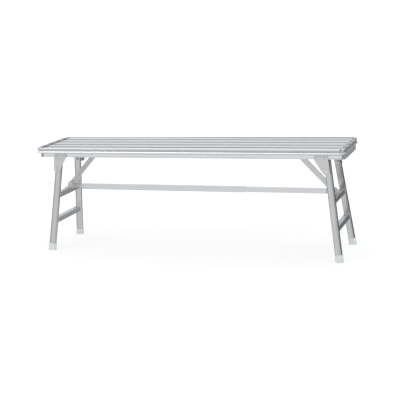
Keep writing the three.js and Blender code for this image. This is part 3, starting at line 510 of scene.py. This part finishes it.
def weld_bead(side, edge, rung):
    drop = RUNG_DROPS[rung]
    sign = EDGES[edge]
    slope = math.tan(SPLAY_CROSSWISE)
    inner = LEG_DEPTH / 2 / math.cos(SPLAY_CROSSWISE)
    to_bench = frame_matrix(side)
    points, faces = [], []
    for step in range(BEAD_STEPS):
        x, z, ux, uz = square_loop(step / BEAD_STEPS)
        ripple = 0.5 + 0.5 * math.cos(math.tau * RIPPLES * step / BEAD_STEPS)
        radius = BEAD_RADIUS * (THINNEST_SHARE + (1 - THINNEST_SHARE) * ripple)
        face = LEG_PIVOT_SPREAD + (drop - z) * slope - inner
        for turn in range(BEAD_SIDES):
            around = math.tau * turn / BEAD_SIDES
            out = radius * math.cos(around)
            inward = radius * math.sin(around)
            local = Vector((x + ux * out, sign * (face - inward), z + uz * out - drop))
            points.append(to_bench @ local)
            here = step * BEAD_SIDES
            ahead = (step + 1) % BEAD_STEPS * BEAD_SIDES
            turn_on = (turn + 1) % BEAD_SIDES
            faces.append((here + turn, here + turn_on, ahead + turn_on, ahead + turn))
    mesh = bpy.data.meshes.new(f"weld_{rung}_{edge}_{side}")
    mesh.from_pydata(points, [], faces)
    mesh.polygons.foreach_set("use_smooth", [True] * len(mesh.polygons))
    mesh.materials.append(WELD)
    bead = bpy.data.objects.new(mesh.name, mesh)
    bpy.context.scene.collection.objects.link(bead)
    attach(bead, f"frame_{side}")
    return bead


def weld_metal(name):
    finish = Finish(name, 1.0)
    place = finish.place()
    crust = finish.noise(place, scale=700.0, detail=4.0)
    tint = finish.noise(place, scale=160.0, detail=2.0)
    colour = finish.blend(tint, grey(0.66, 0.01), grey(0.86))
    finish.bump(crust, strength=0.3, distance=0.0003)
    return finish.finish(colour, 0.3 + crust * 0.2)


WELD = weld_metal("weld metal")
beads = [weld_bead(side, edge, rung) for side in SIDES for edge in EDGES for rung in RUNG_DROPS]
print("weld beads", len(beads))

# %% [markdown]
# ## Floor and light
# The bench stands in a white studio whose floor and wall are one round dish, so that it is white from
# every side. The dish glows, a little less near the bench, which keeps it white while the shadow stays
# soft and faint. Metal shows what it reflects, so the dish is hidden from reflections and a sky takes
# its place: bright in front and above, with a dark band low at the back and the sides. The band draws
# the dark edges of the legs.

# %% Floor
DISH_RADIUS = 9.0
DISH_HEIGHT = 6.0
DISH_BEND = 2.5
BEND_STEPS = 12
MIDDLE_RADIUS = 0.3
DISH_PARTS = 96
UNDER_THE_BENCH = (0.9, 2.2)
DIM_GLOW = grey(0.663)
FULL_GLOW = grey(0.79)


def dish_profile():
    """Distance from the middle and height, along the floor, round the bend and up the wall."""
    flat = DISH_RADIUS - DISH_BEND
    angles = [math.pi / 2 * step / BEND_STEPS for step in range(1, BEND_STEPS + 1)]
    bend = [(flat + DISH_BEND * math.sin(a), DISH_BEND - DISH_BEND * math.cos(a)) for a in angles]
    return [(MIDDLE_RADIUS, 0.0), (flat, 0.0), *bend, (DISH_RADIUS, DISH_HEIGHT)]


def dish_mesh():
    profile = dish_profile()
    turns = [math.tau * part / DISH_PARTS for part in range(DISH_PARTS)]
    points = [(r * math.cos(t), r * math.sin(t), z) for r, z in profile for t in turns]
    faces = [tuple(range(DISH_PARTS))]
    for row in range(len(profile) - 1):
        inner = row * DISH_PARTS
        outer = inner + DISH_PARTS
        for part in range(DISH_PARTS):
            ahead = (part + 1) % DISH_PARTS
            faces.append((inner + part, outer + part, outer + ahead, inner + ahead))
    mesh = bpy.data.meshes.new("studio_floor")
    mesh.from_pydata(points, [], faces)
    mesh.polygons.foreach_set("use_smooth", [True] * len(mesh.polygons))
    return mesh


def studio_white():
    finish = Finish("studio white", 0.0)
    place = finish.place()
    far = finish.add("ShaderNodeVectorMath", {"operation": "LENGTH"}, {0: place}, "Value")
    glow = finish.blend(far.between(*UNDER_THE_BENCH), DIM_GLOW, FULL_GLOW)
    finish.feed(finish.shader.inputs["Emission Color"], glow)
    finish.shader.inputs["Emission Strength"].default_value = 1.0
    finish.shader.inputs["Specular IOR Level"].default_value = 0.0
    speckle = finish.noise(place, scale=3.0, detail=2.0)
    return finish.finish(finish.blend(speckle, grey(0.29), grey(0.30)), 0.9)


dish = bpy.data.objects.new("studio_floor", dish_mesh())
bpy.context.scene.collection.objects.link(dish)
dish.data.materials.append(studio_white())
dish.visible_glossy = False
print("floor faces", len(dish.data.polygons))

# %% Light
def soft_box(name, place, target, size, power):
    light = bpy.data.lights.new(name, "AREA")
    light.shape = "RECTANGLE"
    light.size, light.size_y = size
    light.energy = power
    lamp = bpy.data.objects.new(name, light)
    bpy.context.scene.collection.objects.link(lamp)
    lamp.location = place
    lamp.rotation_euler = (Vector(target) - Vector(place)).to_track_quat("-Z", "Y").to_euler()
    return lamp


soft_box("key", place=(-2.2, -2.2, 3.2), target=(0, 0, 0.3), size=(2.2, 2.2), power=20)
soft_box("top", place=(0.3, 0.6, 3.4), target=(0, 0, 0.4), size=(3.0, 1.6), power=12)
print("soft boxes", len(bpy.data.lights))

# %% Sky
SKY_COLOUR = (0.97, 0.985, 1.0, 1)
SKY = 0.90
BRIGHTER_ABOVE = 0.36
BRIGHTER_RIGHT = 0.4
DARK_BAND = 0.80
DARKER_BELOW = 0.35


def studio_sky():
    world = bpy.data.worlds.new("studio sky")
    bpy.context.scene.world = world
    world.use_nodes = True
    sky = Tree(world.node_tree)
    look = sky.add("ShaderNodeTexCoord", {}, {}, "Generated")
    height = sky.along(look, UP)
    rightward = sky.along(look, LENGTHWISE)
    behind = sky.along(look, ACROSS).between(0.15, 0.6) * rightward.between(-0.1, 0.2)
    left = (-1 * rightward).between(0.55, 0.85)
    right = rightward.between(0.5, 0.9)
    low = height.between(-0.40, -0.25) * (1 - height.between(-0.06, 0.12))
    straight_down = (-1 * height).between(0.5, 0.9)
    lit = SKY + height.between(0.1, 0.7) * BRIGHTER_ABOVE + right * (1 - low) * BRIGHTER_RIGHT
    shaded = behind.either(left).either(right) * low * DARK_BAND + straight_down * DARKER_BELOW
    background = world.node_tree.nodes["Background"]
    background.inputs["Color"].default_value = SKY_COLOUR
    sky.feed(background.inputs["Strength"], lit - shaded)


studio_sky()
bpy.context.scene.view_settings.view_transform = "Standard"
print("sky", bpy.context.scene.world.name)
